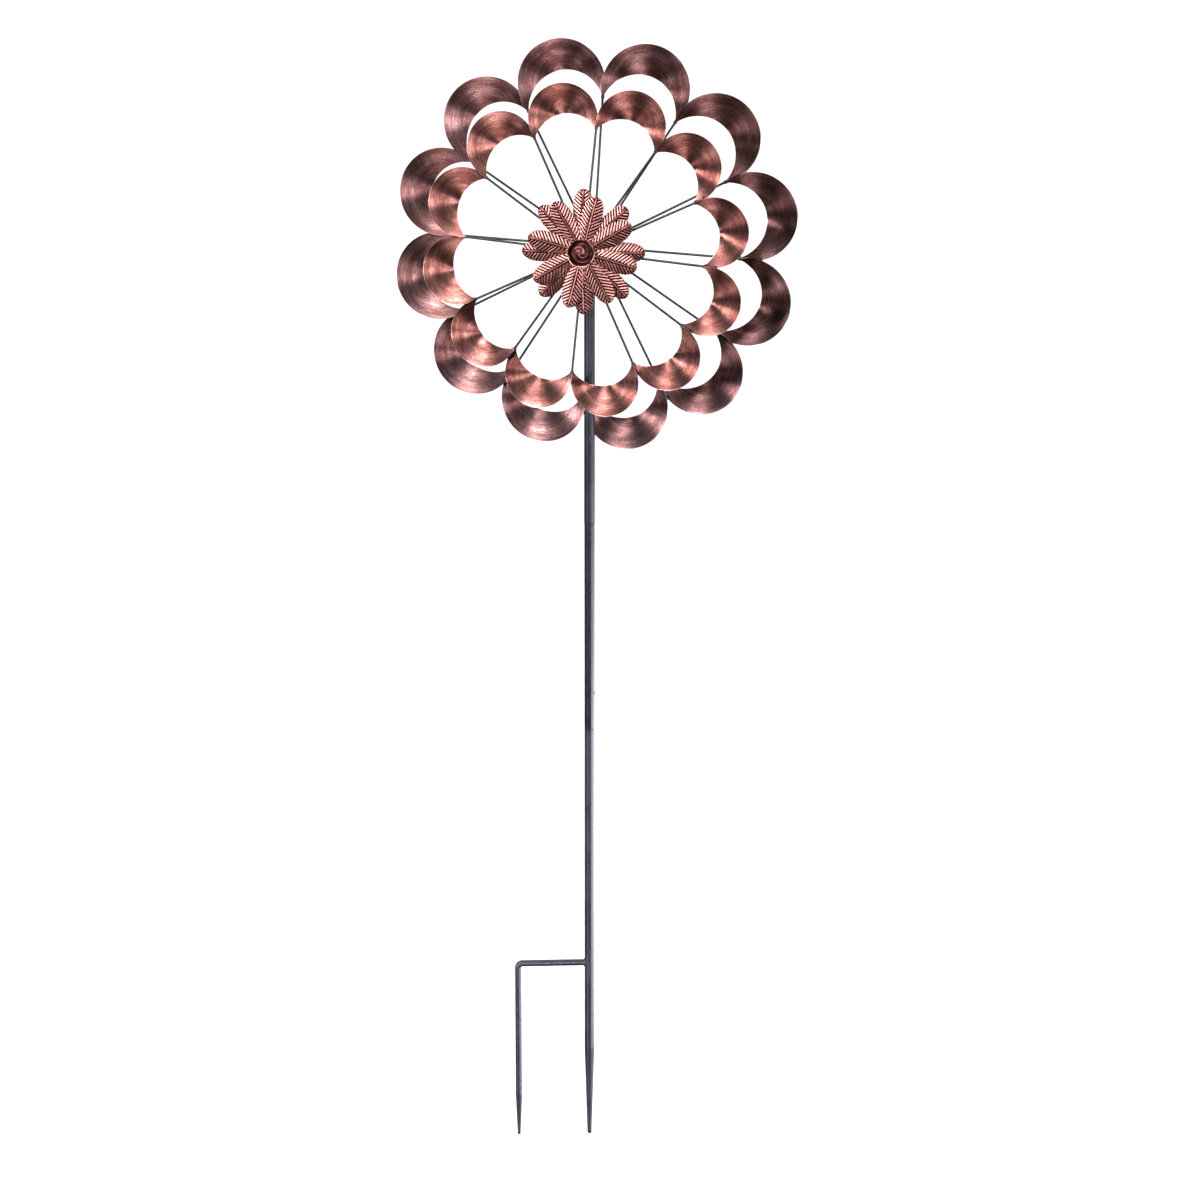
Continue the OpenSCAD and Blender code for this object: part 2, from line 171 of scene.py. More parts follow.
def grow(name: str, tree: NodeTree, values: Mapping[str, Any],
         base: Mesh | None = None) -> Object:
    """Runs a Geometry Nodes tree and keeps its result as a plain mesh.

    Args:
        name: the piece's name.
        tree: the tree to run.
        values: the value of each named input.
        base: the mesh that the tree starts from, where it needs one.

    Returns:
        The piece, with no modifier on it.
    """
    piece = bpy.data.objects.new(name, base or bpy.data.meshes.new(name))
    bpy.context.scene.collection.objects.link(piece)
    modifier = piece.modifiers.new(tree.name, "NODES")
    modifier.node_group = tree
    for item in tree.interface.items_tree:
        if item.in_out == "INPUT" and item.name in values:
            modifier[item.identifier] = values[item.name]
    graph = bpy.context.evaluated_depsgraph_get()
    mesh = bpy.data.meshes.new_from_object(
        piece.evaluated_get(graph), preserve_all_data_layers=True, depsgraph=graph)
    piece.modifiers.remove(modifier)
    piece.data = mesh
    mesh.name = name
    smooth(mesh)
    return piece


def smooth(mesh: Mesh, sharp_over: float = 35.0) -> None:
    """Shades a mesh smoothly, apart from its sharp edges.

    Args:
        mesh: the mesh to shade.
        sharp_over: the turn between two faces, in degrees, over which their edge is sharp.
    """
    mesh.shade_smooth()
    mesh.set_sharp_from_angle(angle=math.radians(sharp_over))


def polar(radius: Any, turn: Any, height: Any) -> np.ndarray:
    """Places points round the Z axis.

    Args:
        radius: distances from the axis.
        turn: angles about it, from +X towards +Y.
        height: heights.

    Returns:
        Points, with X, Y and Z along the last axis of the array.
    """
    return np.stack(np.broadcast_arrays(radius * np.cos(turn), radius * np.sin(turn), height), -1)


def full_turn(count: int) -> np.ndarray:
    """Divides a full turn.

    Args:
        count: how many steps it has.

    Returns:
        The angle at the start of each step.
    """
    return np.linspace(0, 2 * math.pi, count, endpoint=False)


def loft(name: str, rings: np.ndarray, closed: bool = False,
         marks: Mapping[str, np.ndarray] | None = None) -> Mesh:
    """Skins a row of rings into one closed shell.

    Args:
        name: the mesh's name.
        rings: points of shape (rings, points, 3). A ring that is one point repeated closes to a pole.
        closed: whether the last ring joins the first, instead of both being capped.
        marks: values of shape (rings, points) to keep as point attributes.

    Returns:
        The mesh, with its faces outwards.
    """
    rows, count, _ = rings.shape
    faces = []
    for i in range(rows if closed else rows - 1):
        here, there = i * count, (i + 1) % rows * count
        for j in range(count):
            k = (j + 1) % count
            faces.append((here + j, here + k, there + k, there + j))
    if not closed:
        faces += [tuple(range(count)), tuple(range((rows - 1) * count, rows * count))]
    mesh = bpy.data.meshes.new(name)
    mesh.from_pydata(rings.reshape(-1, 3).tolist(), [], faces)
    for label, values in (marks or {}).items():
        attribute = mesh.attributes.new(label, "FLOAT", "POINT")
        attribute.data.foreach_set("value", values.astype(np.float32).ravel())
    form = bmesh.new()
    form.from_mesh(mesh)
    bmesh.ops.remove_doubles(form, verts=form.verts, dist=SAME_PLACE)
    bmesh.ops.dissolve_degenerate(form, edges=form.edges, dist=SAME_PLACE / 2)
    bmesh.ops.recalc_face_normals(form, faces=form.faces)
    form.to_mesh(mesh)
    form.free()
    return mesh


def joined(name: str, meshes: Sequence[Mesh]) -> Mesh:
    """Joins meshes into one, each shell kept as it is.

    Args:
        name: the new mesh's name.
        meshes: the meshes to join.

    Returns:
        The new mesh.
    """
    form = bmesh.new()
    for mesh in meshes:
        form.from_mesh(mesh)
    whole = bpy.data.meshes.new(name)
    form.to_mesh(whole)
    form.free()
    return whole


def piece_of(name: str, mesh: Mesh, material: Material) -> Object:
    """Makes a shown piece of a finished mesh.

    Args:
        name: the piece's name.
        mesh: its mesh, without a material.
        material: its material.

    Returns:
        The piece.
    """
    mesh.materials.append(material)
    smooth(mesh)
    piece = bpy.data.objects.new(name, mesh)
    bpy.context.scene.collection.objects.link(piece)
    return piece


def lump(centre: tuple[float, float, float], half: tuple[float, float, float]) -> Mesh:
    """Makes a small ellipsoid blob of weld metal.

    Args:
        centre: its middle.
        half: its half sizes along X, Y and Z.

    Returns:
        A closed mesh of a few dozen faces.
    """
    rise = np.linspace(-math.pi / 2, math.pi / 2, 7)[:, None]
    unit = polar(np.cos(rise), full_turn(10), np.sin(rise))[..., [0, 2, 1]]
    return loft("weld_lump", np.array(centre) + unit * np.array(half))


# ---- finishes ----


@dataclass(frozen=True)
class Finish:
    """A finish: its own name, and the record's material slot that it stands for."""

    name: str
    slot: str

    def start(self) -> tuple[Material, NodeTree, Node]:
        """Starts the material with one shader.

        Returns:
            The material, its tree and its Principled shader.
        """
        material = bpy.data.materials.new(self.name)
        material.use_nodes = True
        tree = material.node_tree
        tree.nodes.clear()
        shader = tree.nodes.new("ShaderNodeBsdfPrincipled")
        add_node(tree, "ShaderNodeOutputMaterial", {"Surface": shader})
        return material, tree, shader

    def wire(self, tree: NodeTree, shader: Node, metallic: bool = True, coat: float = 0.0,
             **nodes: Node) -> None:
        """Links a shader's inputs and sets what stays constant.

        Args:
            tree: the material's tree.
            shader: its Principled shader.
            metallic: whether it is metal.
            coat: weight of its clear lacquer.
            **nodes: the node that feeds each input, by the input's name with _ for its spaces.
        """
        for name, node in nodes.items():
            output = next(s for s in node.outputs if not s.is_unavailable)
            tree.links.new(output, shader.inputs[name.replace("_", " ")])
        shader.inputs["Metallic"].default_value = float(metallic)
        if coat:
            shader.inputs["Coat Weight"].default_value = coat

    def noise(self, tree: NodeTree, space: Any, size: tuple[float, float, float],
              detail: float = 3.0) -> Node:
        """Adds noise whose grains have a real size.

        Args:
            tree: the material's tree.
            space: the output that the noise is laid on.
            size: size of a grain along each axis of that space.
            detail: how many finer layers it has.

        Returns:
            The noise node.
        """
        scaled = add_node(tree, VECTOR_MATH, {0: space, 1: size}, operation="DIVIDE")
        return add_node(tree, "ShaderNodeTexNoise", {"Vector": scaled, "Scale": 1.0, "Detail": detail})

    def make(self) -> Material:
        """Builds the material; each kind of finish has its own way.

        Returns:
            The material.
        """
        raise NotImplementedError


class CopperTone(Enum):
    """Colours of the brushed copper paint: base coat, thin copper, full copper, and rubbed bright, the last
    also painted along the blades' cut edges as a highlight.
    """

    FRONT = ("#43251F", "#6B3C33", "#A06A5E", "#F2CCC4")
    REAR = ("#38211F", "#583733", "#86605A", "#E8D0CC")


@dataclass(frozen=True)
class BrushedCopper(Finish):
    """Antique copper paint dragged with a stiff brush over a dark base coat on steel sheet, then lacquered.

    It gives the eye streaks along each crescent, clouds of dark base coat that show through, and a highlight
    that spreads across the brush marks into a fan.
    """

    tone: CopperTone

    def make(self) -> Material:
        """Builds the brushed copper from the sweep attribute: arc length, radius and blade number.

        Returns:
            The material.
        """
        material, tree, shader = self.start()
        sweep = add_node(tree, "ShaderNodeAttribute", attribute_name="sweep").outputs["Vector"]
        across = add_node(tree, "ShaderNodeAttribute", attribute_name="across").outputs["Fac"]
        # Brush hairs are finer than 0.5 mm; the streaks are drawn about 1.5 mm wide, so that they show.
        streaks = self.noise(tree, sweep, (30 * MM, 1.5 * MM, 0.13), 3.0)
        clouds = self.noise(tree, sweep, (60 * MM, 14 * MM, 0.29), 6.0)
        grit = self.noise(tree, sweep, (4 * MM, 2.2 * MM, 0.71), 3.0)
        body = add_node(tree, "ShaderNodeMix", {"Factor": 0.32, "A": clouds, "B": streaks})
        body = add_node(tree, "ShaderNodeMix", {"Factor": 0.24, "A": body, "B": grit})
        base, thin, full, bright = self.tone.value
        colour = add_node(tree, "ShaderNodeValToRGB", {0: body},
                          stops=((0.32, base), (0.47, thin), (0.60, full), (0.76, bright)))
        # Painted highlight: the sheet's cut edges are painted bright over their last half millimetre, where a
        # rim would catch the light.
        off = add_node(tree, MATH, {0: across, 1: 0.5}, operation="SUBTRACT")
        off = add_node(tree, MATH, {0: off}, operation="ABSOLUTE")
        edge = add_node(tree, MAP_RANGE, {"Value": off, "From Min": 0.485, "From Max": 0.499})
        # Mixes the painted edge highlight into the copper's colour.
        colour_with_edge_highlight = add_node(tree, "ShaderNodeMix", {"Factor": edge, "A": colour, "B": linear(bright)},
                        data_type="RGBA")
        rough = add_node(tree, MAP_RANGE,
                         {"Value": body, "From Min": 0.35, "From Max": 0.65, "To Min": 0.38, "To Max": 0.33})
        relief = add_node(tree, "ShaderNodeBump", {"Strength": 0.2, "Distance": 0.04 * MM, "Height": streaks})
        tangent = add_node(tree, "ShaderNodeTangent", direction_type="UV_MAP", uv_map="brush")
        self.wire(tree, shader, coat=0.15, Base_Color=colour_with_edge_highlight, Roughness=rough, Normal=relief, Tangent=tangent)
        shader.inputs["Anisotropic"].default_value = 1.0
        shader.inputs["Coat Roughness"].default_value = 0.30
        return material


@dataclass(frozen=True)
class StampedCopper(Finish):
    """Copper paint rubbed back on stamped sheet: bright pink on what stands up, dark in what is sunk."""

    sunk: str
    middle: str
    raised: str

    def make(self) -> Material:
        """Builds the rubbed copper from the relief attribute, 0 in a groove and 1 on a rib.

        Returns:
            The material.
        """
        material, tree, shader = self.start()
        relief = add_node(tree, "ShaderNodeAttribute", attribute_name="relief").outputs["Fac"]
        place = add_node(tree, "ShaderNodeTexCoord").outputs["Object"]
        cloth = self.noise(tree, place, (7 * MM, 7 * MM, 7 * MM), 4.0)
        grit = self.noise(tree, place, (0.9 * MM, 0.9 * MM, 0.9 * MM), 2.0)
        wear = add_node(tree, MAP_RANGE,
                        {"Value": cloth, "From Min": 0.3, "From Max": 0.7, "To Min": -0.18, "To Max": 0.18})
        level = add_node(tree, MATH, {0: relief, 1: wear}, operation="ADD", use_clamp=True)
        colour = add_node(tree, "ShaderNodeValToRGB", {0: level},
                          stops=((0.15, self.sunk), (0.5, self.middle), (0.85, self.raised)))
        rough = add_node(tree, MAP_RANGE, {"Value": level, "To Min": 0.60, "To Max": 0.34})
        bump = add_node(tree, "ShaderNodeBump", {"Strength": 0.3, "Distance": 0.1 * MM, "Height": grit})
        self.wire(tree, shader, coat=0.15, Base_Color=colour, Roughness=rough, Normal=bump)
        shader.inputs["Coat Roughness"].default_value = 0.35
        return material


class Sheen(Enum):
    """How a black coat was left: its roughness."""

    SEMI_GLOSS = 0.26
    SATIN = 0.36
    SOFT = 0.44


@dataclass(frozen=True)
class PowderCoat(Finish):
    """Black powder coat baked on steel tube: an even colour, and a faint peel that breaks up reflections."""

    colour: str
    dust: str
    sheen: Sheen

    def make(self) -> Material:
        """Builds the powder coat with peel of about 1.5 mm and thin dust in cloudy patches.

        Returns:
            The material.
        """
        material, tree, shader = self.start()
        place = add_node(tree, "ShaderNodeTexCoord").outputs["Object"]
        peel = self.noise(tree, place, (1.5 * MM, 1.5 * MM, 1.5 * MM), 2.0)
        haze = self.noise(tree, place, (22 * MM, 22 * MM, 60 * MM), 4.0)
        stops = ((0.42, self.colour), (0.75, self.dust))
        colour = add_node(tree, "ShaderNodeValToRGB", {0: haze}, stops=stops)
        rough = add_node(tree, MAP_RANGE, {
            "Value": haze, "From Min": 0.3, "From Max": 0.7,
            "To Min": self.sheen.value - 0.01, "To Max": self.sheen.value + 0.04})
        bump = add_node(tree, "ShaderNodeBump", {"Strength": 0.15, "Distance": 0.03 * MM, "Height": peel})
        self.wire(tree, shader, metallic=False, Base_Color=colour, Roughness=rough, Normal=bump)
        shader.inputs["IOR"].default_value = 1.5
        return material


@dataclass(frozen=True)
class TurnedMetal(Finish):
    """Metal with the rings that turning leaves: zinc plate is blue-grey, sintered bronze is dull."""

    dark: str
    light: str
    roughness: float
    grain: float

    def make(self) -> Material:
        """Builds the metal with cloudy plating and fine rings along the axle's direction.

        Returns:
            The material.
        """
        material, tree, shader = self.start()
        place = add_node(tree, "ShaderNodeTexCoord").outputs["Object"]
        clouds = self.noise(tree, place, (4 * MM, 4 * MM, 4 * MM), 4.0)
        # A lathe leaves rings 0.1 to 0.2 mm apart; they are drawn coarser, so that they show.
        rings = self.noise(tree, place, (9 * MM, self.grain, 9 * MM), 2.0)
        stops = ((0.35, self.dark), (0.65, self.light))
        colour = add_node(tree, "ShaderNodeValToRGB", {0: clouds}, stops=stops)
        rough = add_node(tree, MAP_RANGE, {
            "Value": clouds, "From Min": 0.3, "From Max": 0.7,
            "To Min": self.roughness - 0.06, "To Max": self.roughness + 0.08})
        bump = add_node(tree, "ShaderNodeBump", {"Strength": 0.3, "Distance": 0.04 * MM, "Height": rings})
        self.wire(tree, shader, Base_Color=colour, Roughness=rough, Normal=bump)
        return material


FRONT_COPPER = BrushedCopper("brushed_copper_red", "front_copper", CopperTone.FRONT)
REAR_COPPER = BrushedCopper("brushed_copper_brown", "rear_copper", CopperTone.REAR)
LEAF_COPPER = StampedCopper("rubbed_leaf_copper", "leaf_copper", "#1A0A0A", "#693832", "#B57B70")
BLOSSOM_COPPER = StampedCopper("dark_blossom_copper", "blossom_copper", "#3C1D1B", "#7E463E", "#DC9F92")
POLE_BLACK = PowderCoat("pole_powder_coat", "pole_black", "#0E0D14", "#171620", Sheen.SEMI_GLOSS)
STAKE_BLACK = PowderCoat("stake_powder_coat", "stake_black", "#1E1F27", "#2D2E37", Sheen.SEMI_GLOSS)
SPOKE_BLACK = PowderCoat("spoke_powder_coat", "spoke_black", "#08080A", "#101113", Sheen.SATIN)
CAP_PLASTIC = PowderCoat("moulded_polyethylene", "cap_plastic", "#151515", "#222222", Sheen.SOFT)
ZINC_PLATE = TurnedMetal("bright_zinc_plate", "zinc_plate", "#8C9096", "#C9CCD0", 0.30, 0.35 * MM)
BUSH_BRONZE = TurnedMetal("sintered_bronze", "bush_bronze", "#7A5A34", "#B08A56", 0.42, 0.6 * MM)
FINISHES = (FRONT_COPPER, REAR_COPPER, LEAF_COPPER, BLOSSOM_COPPER, POLE_BLACK, STAKE_BLACK, SPOKE_BLACK,
            CAP_PLASTIC, ZINC_PLATE, BUSH_BRONZE)


class Paintshop:
    """Makes each finish once, and dresses the CAD nodes by their record's slots."""

    def __init__(self) -> None:
        """Makes every finish."""
        self.materials = {finish.slot: finish.make() for finish in FINISHES}

    def dress_frame(self) -> None:
        """Gives every CAD node the finish of its slot."""
        for part in frame["record"]["subparts"]:
            node = frame["nodes"][part["node"]]
            for slot in node.material_slots:
                slot.material = self.materials[part["material_slot"]]
        LOG.info("dressed %d CAD nodes", len(frame["nodes"]))

    def hand_over(self, piece: Object, body: str, slot: str, *nodes: str) -> None:
        """Puts a finished piece on its body.

        Args:
            piece: the piece, in place.
            body: the CAD body that it moves with.
            slot: the record's material slot of its finish; not used.
            *nodes: the CAD nodes that it stands for.
        """
        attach(piece, body)
        if nodes:
            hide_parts(*nodes)
        LOG.info("%s: %d faces on %s", piece.name, len(piece.data.polygons), body)


# ---- trees ----


def put_on_axle(tree: NodeTree, sizes: Node, geometry: Node) -> Node:
    """Moves a wheel's own frame, with +Z to the front and +Y up, to its place on the axle.

    Args:
        tree: the tree to add to.
        sizes: the tree's input, which names Reach and Axle Height.
        geometry: the node whose geometry is moved.

    Returns:
        The last node.
    """
    reach = add_node(tree, COMBINE, {"Z": sizes.outputs["Reach"]})
    height = add_node(tree, COMBINE, {"Z": sizes.outputs["Axle Height"]})
    out = add_node(tree, TRANSFORM, {"Geometry": geometry, "Translation": reach})
    upright = {"Geometry": out, "Translation": height, "Rotation": (math.pi / 2, 0.0, 0.0)}
    return add_node(tree, TRANSFORM, upright)


def crescent_tree() -> NodeTree:
    """Builds the tree of one crescent blade.

    A flat grid is bent between two arcs that meet at both tips, dished as a cone about the rim's own centre,
    given its sheet's thickness, and turned into its place on the wheel.

    Returns:
        The tree.
    """
    floats = ("Rim Radius", "Rim Sweep", "Inner Radius", "Inner Sweep", "Inner Centre", "Flat Radius",
              "Dish Slope", "Sheet", "Waviness", "Ring", "Pitch", "Turn", "Reach", "Axle Height")
    kinds = {label: "Float" for label in floats} | {"Number": "Int", "Along": "Int", "Across": "Int",
                                                     "Material": "Material"}
    tree, sizes = new_tree("crescent_blade", kinds)
    size = sizes.outputs
    grid = add_node(tree, "GeometryNodeMeshGrid", {"Size X": 2.0, "Size Y": 1.0, "Vertices X": size["Along"],
                                                   "Vertices Y": size["Across"]})
    place = add_node(tree, "ShaderNodeSeparateXYZ", {0: add_node(tree, "GeometryNodeInputPosition")})
    share = add_node(tree, MATH, {0: place.outputs["Y"], 1: 0.5}, operation="ADD")
    arcs = []
    for radius, swept in (("Rim Radius", "Rim Sweep"), ("Inner Radius", "Inner Sweep")):
        sockets = {0: place.outputs["X"], 1: size[swept]}
        angle = add_node(tree, MATH, sockets, operation="MULTIPLY")
        sine = add_node(tree, MATH, {0: angle}, operation="SINE")
        cosine = add_node(tree, MATH, {0: angle}, operation="COSINE")
        unit = add_node(tree, COMBINE, {"X": sine, "Y": cosine})
        sockets = {0: unit, "Scale": size[radius]}
        arcs.append(add_node(tree, VECTOR_MATH, sockets, operation="SCALE"))
    centre = add_node(tree, COMBINE, {"Y": size["Inner Centre"]})
    inner = add_node(tree, VECTOR_MATH, {0: arcs[1], 1: centre}, operation="ADD")
    flat = add_node(tree, "ShaderNodeMix", {"Factor": share, "A": arcs[0], "B": inner}, data_type="VECTOR")
    radius = add_node(tree, VECTOR_MATH, {0: flat}, operation="LENGTH").outputs["Value"]
    fall = add_node(tree, MATH, {0: radius, 1: size["Flat Radius"]}, operation="SUBTRACT")
    dish = add_node(tree, MATH, {0: fall, 1: size["Dish Slope"]}, operation="MULTIPLY")
    # Hand forming leaves the sheet slightly wavy, differently on each blade.
    dent = {"Vector": flat, "W": size["Number"], "Scale": 1 / (35 * MM), "Detail": 1.0}
    dents = add_node(tree, "ShaderNodeTexNoise", dent, noise_dimensions="4D")
    wave = add_node(tree, MATH, {0: dents.outputs[0], 1: 0.5}, operation="SUBTRACT")
    sockets = {0: wave, 1: size["Waviness"], 2: dish}
    height = add_node(tree, MATH, sockets, operation="MULTIPLY_ADD")
    lifted = add_node(tree, COMBINE, {"Z": height})
    bent = add_node(tree, VECTOR_MATH, {0: flat, 1: lifted}, operation="ADD")
    plan = add_node(tree, "ShaderNodeSeparateXYZ", {0: flat})
    sockets = {0: plan.outputs["X"], 1: plan.outputs["Y"]}
    angle = add_node(tree, MATH, sockets, operation="ARCTAN2")
    arc = add_node(tree, MATH, {0: angle, 1: size["Rim Radius"]}, operation="MULTIPLY")
    sweep = add_node(tree, COMBINE, {"X": arc, "Y": radius, "Z": size["Number"]})
    brush = add_node(tree, COMBINE, {"X": radius, "Y": arc})
    step = grid
    kept = (("sweep", "FLOAT_VECTOR", "POINT", sweep), ("across", "FLOAT", "POINT", share),
            ("brush", "FLOAT2", "CORNER", brush))
    for name, kind, domain, value in kept:
        sockets = {"Geometry": step, "Name": name, "Value": value}
        step = add_node(tree, "GeometryNodeStoreNamedAttribute", sockets, data_type=kind, domain=domain)
    step = add_node(tree, "GeometryNodeSetPosition", {"Geometry": step, "Position": bent})
    normal = add_node(tree, "GeometryNodeInputNormal")
    half = add_node(tree, MATH, {0: size["Sheet"], 1: -0.5}, operation="MULTIPLY")
    sunk = add_node(tree, VECTOR_MATH, {0: normal, "Scale": half}, operation="SCALE")
    back = add_node(tree, "GeometryNodeSetPosition", {"Geometry": step, "Offset": sunk})
    front = add_node(tree, "GeometryNodeExtrudeMesh", {"Mesh": back, "Offset Scale": size["Sheet"],
                                                       "Individual": False}, mode="FACES")
    turned = add_node(tree, "GeometryNodeFlipFaces", {0: back})
    shell = add_node(tree, "GeometryNodeJoinGeometry")
    tree.links.new(front.outputs[0], shell.inputs[0])
    tree.links.new(turned.outputs[0], shell.inputs[0])
    step = add_node(tree, "GeometryNodeMergeByDistance", {"Geometry": shell, "Distance": 0.01 * MM})
    ring = add_node(tree, COMBINE, {"Y": size["Ring"]})
    pitch = add_node(tree, COMBINE, {"Y": size["Pitch"]})
    turn = add_node(tree, COMBINE, {"Z": size["Turn"]})
    step = add_node(tree, TRANSFORM, {"Geometry": step, "Translation": ring})
    step = add_node(tree, TRANSFORM, {"Geometry": step, "Rotation": pitch})
    step = add_node(tree, TRANSFORM, {"Geometry": step, "Rotation": turn})
    end_tree(tree, put_on_axle(tree, sizes, step), size["Material"])
    return tree


def round_tree() -> NodeTree:
    """Builds the tree that sets copies of a mesh round the axle.

    Returns:
        The tree.
    """
    kinds = {"Count": "Int", "First Turn": "Float", "Reach": "Float", "Axle Height": "Float",
             "Material": "Material"}
    tree, sizes = new_tree("copies_round_axle", kinds)
    size = sizes.outputs
    points = add_node(tree, "GeometryNodePoints", {"Count": size["Count"]})
    step = add_node(tree, MATH, {0: 2 * math.pi, 1: size["Count"]}, operation="DIVIDE")
    index = add_node(tree, "GeometryNodeInputIndex")
    sockets = {0: index, 1: step, 2: size["First Turn"]}
    angle = add_node(tree, MATH, sockets, operation="MULTIPLY_ADD")
    turn = add_node(tree, COMBINE, {"Z": angle})
    copies = add_node(tree, "GeometryNodeInstanceOnPoints", {"Points": points, "Instance": size["Geometry"],
                                                             "Rotation": turn})
    real = add_node(tree, "GeometryNodeRealizeInstances", {"Geometry": copies})
    end_tree(tree, put_on_axle(tree, sizes, real), size["Material"])
    return tree


# ---- sub-assemblies ----


class Side(Enum):
    """Which side of the pole a wheel is on."""

    FRONT = "front"
    REAR = "rear"


@dataclass
class Wheel:
    """A wheel of twelve crescent blades between twelve spokes.

    Each blade is a crescent of sheet whose rim is a circle about a centre on the wheel's ring. It lies in
    front of the spoke at its counter-clockwise end and behind the one at its clockwise end.
    """

    side: Side
    ring: float
    rim: float
    inner: float
    turn: float
    slot: str
    blades: int = 12
    sheet: float = 0.8 * MM
    dish: float = math.radians(12)
    spoke_r: float = 1.75 * MM
    gap: float = 0.05 * MM
    waviness: float = 0.5 * MM
    along: int = 97
    across: int = 15
    weld_half: tuple[float, float, float] = (1.5 * MM, 3.2 * MM, 0.9 * MM)
    weld_side: float = 1.6 * MM
    weld_out: float = 1.3 * MM
    weld_inset: float = 3 * MM

    @property
    def body(self) -> str:
        """Names the wheel's CAD body.

        Returns:
            The body that the wheel moves with.
        """
        return f"{self.side.value}_wheel"

    @property
    def half_pitch(self) -> float:
        """Halves the angle between spokes.

        Returns:
            The angle from a blade's middle to its spoke.
        """
        return math.pi / self.blades

    @property
    def flat_radius(self) -> float:
        """Places the dish.

        Returns:
            The distance from a blade's own centre at which its dish crosses its plane.
        """
        return self.ring * math.sin(self.half_pitch)

    @property
    def chord(self) -> float:
        """Measures the spoke inside the rim's circle.

        Returns:
            Half its length.
        """
        return math.sqrt(self.rim ** 2 - self.flat_radius ** 2)

    @property
    def tip(self) -> float:
        """Places a blade's tips.

        Returns:
            The distance from the axle at which both edges meet on the spoke.
        """
        return self.ring * math.cos(self.half_pitch) - self.chord

    @property
    def shoulder(self) -> float:
        """Places a blade's outer hold.

        Returns:
            The distance from the axle at which the rim crosses the spoke again, at its end.
        """
        return self.ring * math.cos(self.half_pitch) + self.chord

    @property
    def pitch(self) -> float:
        """Works out a blade's lean, which lays its ends on both sides of the spokes.

        Returns:
            The turn about its radial line.
        """
        rise = (self.rim - self.flat_radius) * math.tan(self.dish)
        stand_off = self.spoke_r + self.sheet / 2 / math.cos(self.dish) + self.gap + rise
        return math.asin(stand_off / (self.tip * math.sin(self.half_pitch)))

    def place(self) -> dict[str, float]:
        """Measures the wheel's place in the frame.

        Returns:
            The tree inputs for its distance in front of the pole and its height.
        """
        low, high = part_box(f"{self.side.value}_spokes")
        return {"Reach": -(low.y + high.y) / 2, "Axle Height": (low.z + high.z) / 2}

    def build(self, crescent: NodeTree, copies: NodeTree, shop: Paintshop) -> None:
        """Builds the blades and their welds.

        Args:
            crescent: the tree of one blade.
            copies: the tree that sets copies round the axle.
            shop: gives the finishes.
        """
        tip_x = self.tip * math.sin(self.half_pitch)
        tip_y = self.tip * math.cos(self.half_pitch)
        centre = (self.tip ** 2 - self.inner ** 2) / (2 * (tip_y - self.inner))
        shared = self.place() | {
            "Rim Radius": self.rim, "Rim Sweep": math.atan2(tip_x, tip_y - self.ring),
            "Inner Radius": self.inner - centre, "Inner Sweep": math.atan2(tip_x, tip_y - centre),
            "Inner Centre": centre - self.ring, "Flat Radius": self.flat_radius,
            "Dish Slope": math.tan(self.dish), "Sheet": self.sheet, "Waviness": self.waviness,
            "Ring": self.ring, "Pitch": self.pitch, "Along": self.along, "Across": self.across,
            "Material": shop.materials[self.slot]}
        for number in range(1, self.blades + 1):
            turn = self.turn - (number - 1) * 2 * self.half_pitch
            name = f"{self.side.value}_crescent_{number:02d}"
            blade = grow(name, crescent, shared | {"Turn": turn, "Number": number})
            shop.hand_over(blade, self.body, self.slot, f"{self.side.value}_blade_{number:02d}")
        self.build_welds(copies, shop)

    def build_welds(self, copies: NodeTree, shop: Paintshop) -> None:
        """Builds the four weld spots on every spoke, two for the blade before it and two for that behind.

        Args:
            copies: the tree that sets copies round the axle.
            shop: gives the finishes.
        """
        ends = (self.tip + self.weld_inset, self.shoulder - self.weld_inset)
        spots = [lump((face * self.weld_side, reach, face * self.weld_out), self.weld_half)
                 for face in (1, -1) for reach in ends]
        values = self.place() | {"Count": self.blades, "First Turn": self.turn + self.half_pitch,
                                 "Material": shop.materials[self.slot]}
        welds = grow(f"{self.side.value}_blade_welds", copies, values, joined("weld_spots", spots))
        shop.hand_over(welds, self.body, self.slot)


